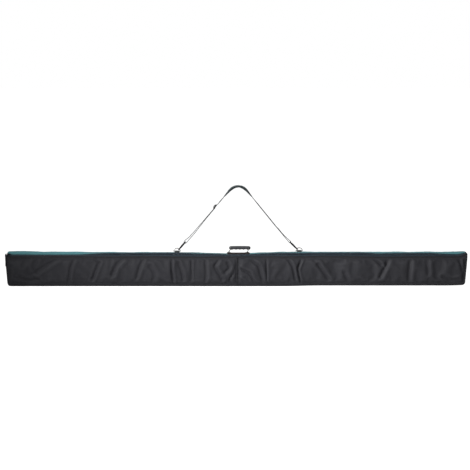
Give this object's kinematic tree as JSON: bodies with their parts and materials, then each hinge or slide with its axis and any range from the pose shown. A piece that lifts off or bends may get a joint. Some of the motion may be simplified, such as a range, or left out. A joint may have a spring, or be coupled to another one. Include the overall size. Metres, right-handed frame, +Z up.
{
  "type": "ski bag",
  "caption": "Long padded zip-up ski bag with a hinged top spine, folding grip handle and a clip-on adjustable shoulder strap.",
  "frame": {"origin": "centre of the flat underside that the bag rests on", "axes": "+X along the bag towards the end without the zip pull, -Y out of the front panel, +Z up"},
  "size_m": [2.1002, 0.0865, 0.4597],
  "materials": {
    "pack_cloth": "coated plain-weave polyester, matt black",
    "teal_cloth": "coated plain-weave polyester, teal",
    "piping": "black corded piping",
    "zip_tape": "woven zip tape, blue-black",
    "zip_coil": "nylon coil",
    "webbing": "ribbed polypropylene webbing, dark grey",
    "pad_cloth": "padded cloth, dark teal grey",
    "wire_steel": "nickel-plated steel wire",
    "dark_metal": "zinc casting, gunmetal finish",
    "grip_plastic": "moulded grip, satin grey",
    "base_leather": "brown-black leathercloth patch",
    "pull_rubber": "moulded grey zip pull"
  },
  "bodies": {
    "bag": {"front_panel_left": "pack_cloth", "front_panel_right": "pack_cloth", "back_panel_left": "pack_cloth", "back_panel_right": "pack_cloth", "left_end_gusset": "pack_cloth", "right_end_gusset": "pack_cloth", "bottom_gusset": "pack_cloth", "front_piping": "piping", "rear_piping": "piping", "seam_tape_front": "piping", "seam_tape_rear": "piping", "zip_tape_lower": "zip_tape", "zip_coil_lower": "zip_coil"},
    "spine": {"spine_panel": "teal_cloth", "zip_coil_upper": "zip_coil", "zip_tape_upper": "zip_tape", "handle_base": "base_leather", "handle_bracket_left": "wire_steel", "handle_bracket_right": "wire_steel", "base_rivet_1": "wire_steel", "base_rivet_2": "wire_steel", "base_rivet_3": "wire_steel", "base_rivet_4": "wire_steel", "d_ring_tab_left": "webbing", "d_ring_tab_right": "webbing"},
    "zip_slider": {"zip_slider": "dark_metal"},
    "zip_pull": {"zip_pull_neck": "pull_rubber", "zip_pull_tip": "pull_rubber"},
    "handle_ring_left": {"handle_ring_left": "wire_steel"},
    "handle_ring_right": {"handle_ring_right": "wire_steel"},
    "handle_grip": {"handle_grip": "grip_plastic"},
    "d_ring_left": {"d_ring_left": "wire_steel"},
    "d_ring_right": {"d_ring_right": "wire_steel"},
    "strap": {"strap_webbing": "webbing", "strap_adjuster_loop": "webbing", "shoulder_pad_outer": "pad_cloth", "shoulder_pad_inner": "pad_cloth", "swivel_loop_left": "dark_metal", "swivel_loop_right": "dark_metal"},
    "strap_slider": {"strap_slider": "dark_metal", "slider_fold": "webbing"},
    "snap_hook_left": {"snap_hook_left": "dark_metal", "gate_pin_left": "wire_steel"},
    "snap_hook_right": {"snap_hook_right": "dark_metal", "gate_pin_right": "wire_steel"},
    "hook_gate_left": {"hook_gate_left": "dark_metal"},
    "hook_gate_right": {"hook_gate_right": "dark_metal"}
  },
  "joints": [
    {"name": "spine_hinge", "type": "hinge", "parent": "bag", "child": "spine", "pos_m": [0, 0.0355, 0.1385], "axis": [-1, 0, 0], "range_deg": [0, 110]},
    {"name": "zip_travel", "type": "slide", "parent": "bag", "child": "zip_slider", "axis": [1, 0, 0], "range_m": [0, 2.064]},
    {"name": "zip_pull_swing", "type": "hinge", "parent": "zip_slider", "child": "zip_pull", "pos_m": [-1.0466, -0.0435, 0.143], "axis": [0, 1, 0], "range_deg": [-110, 110]},
    {"name": "handle_left_ring_tilt", "type": "hinge", "parent": "spine", "child": "handle_ring_left", "pos_m": [-0.034, 0, 0.15254], "axis": [0, 1, 0], "range_deg": [-88, 40]},
    {"name": "handle_right_ring_tilt", "type": "hinge", "parent": "spine", "child": "handle_ring_right", "pos_m": [0.05, 0, 0.15254], "axis": [0, 1, 0], "range_deg": [-88, 40]},
    {"name": "handle_grip_level", "type": "hinge", "parent": "handle_ring_left", "child": "handle_grip", "pos_m": [-0.026, 0, 0.17003], "axis": [0, 1, 0], "range_deg": [-40, 88]},
    {"name": "strap_swing", "type": "hinge", "parent": "spine", "child": "strap", "pos_m": [-0.2695, 0, 0.15655], "axis": [1, 0, 0.0043], "range_deg": [-62, 62]},
    {"name": "left_d_ring_swing", "type": "hinge", "parent": "spine", "child": "d_ring_left", "pos_m": [-0.2695, 0, 0.15655], "axis": [1, 0, 0.0043], "range_deg": [-62, 62]},
    {"name": "right_d_ring_swing", "type": "hinge", "parent": "spine", "child": "d_ring_right", "pos_m": [0.286, 0, 0.15893], "axis": [1, 0, 0.0043], "range_deg": [-62, 62]},
    {"name": "strap_slider_travel", "type": "slide", "parent": "strap", "child": "strap_slider", "axis": [0.6505, 0, 0.7595], "range_m": [-0.14, 0.04]},
    {"name": "left_hook_swivel", "type": "hinge", "parent": "strap", "child": "snap_hook_left", "pos_m": [-0.25962, 0, 0.16695], "axis": [0.6505, 0, 0.7595], "range_deg": [-18, 18]},
    {"name": "right_hook_swivel", "type": "hinge", "parent": "strap", "child": "snap_hook_right", "pos_m": [0.27525, 0, 0.16851], "axis": [-0.7108, 0, 0.7034], "range_deg": [-18, 18]},
    {"name": "left_hook_gate", "type": "hinge", "parent": "snap_hook_left", "child": "hook_gate_left", "pos_m": [-0.24661, 0.0052, 0.18214], "axis": [-0.7595, 0, 0.6505], "range_deg": [0, 35], "stiffness_Nm_per_rad": 0.05, "springref_deg": -17.19},
    {"name": "right_hook_gate", "type": "hinge", "parent": "snap_hook_right", "child": "hook_gate_right", "pos_m": [0.26103, 0.0052, 0.18258], "axis": [-0.7034, 0, -0.7108], "range_deg": [0, 35], "stiffness_Nm_per_rad": 0.05, "springref_deg": -17.19}
  ],
  "couplings": [
    {"joint": "handle_right_ring_tilt", "follows": "handle_left_ring_tilt", "ratio": 1},
    {"joint": "handle_grip_level", "follows": "handle_left_ring_tilt", "ratio": -1},
    {"joint": "left_d_ring_swing", "follows": "strap_swing", "ratio": 1},
    {"joint": "right_d_ring_swing", "follows": "strap_swing", "ratio": 1}
  ]
}
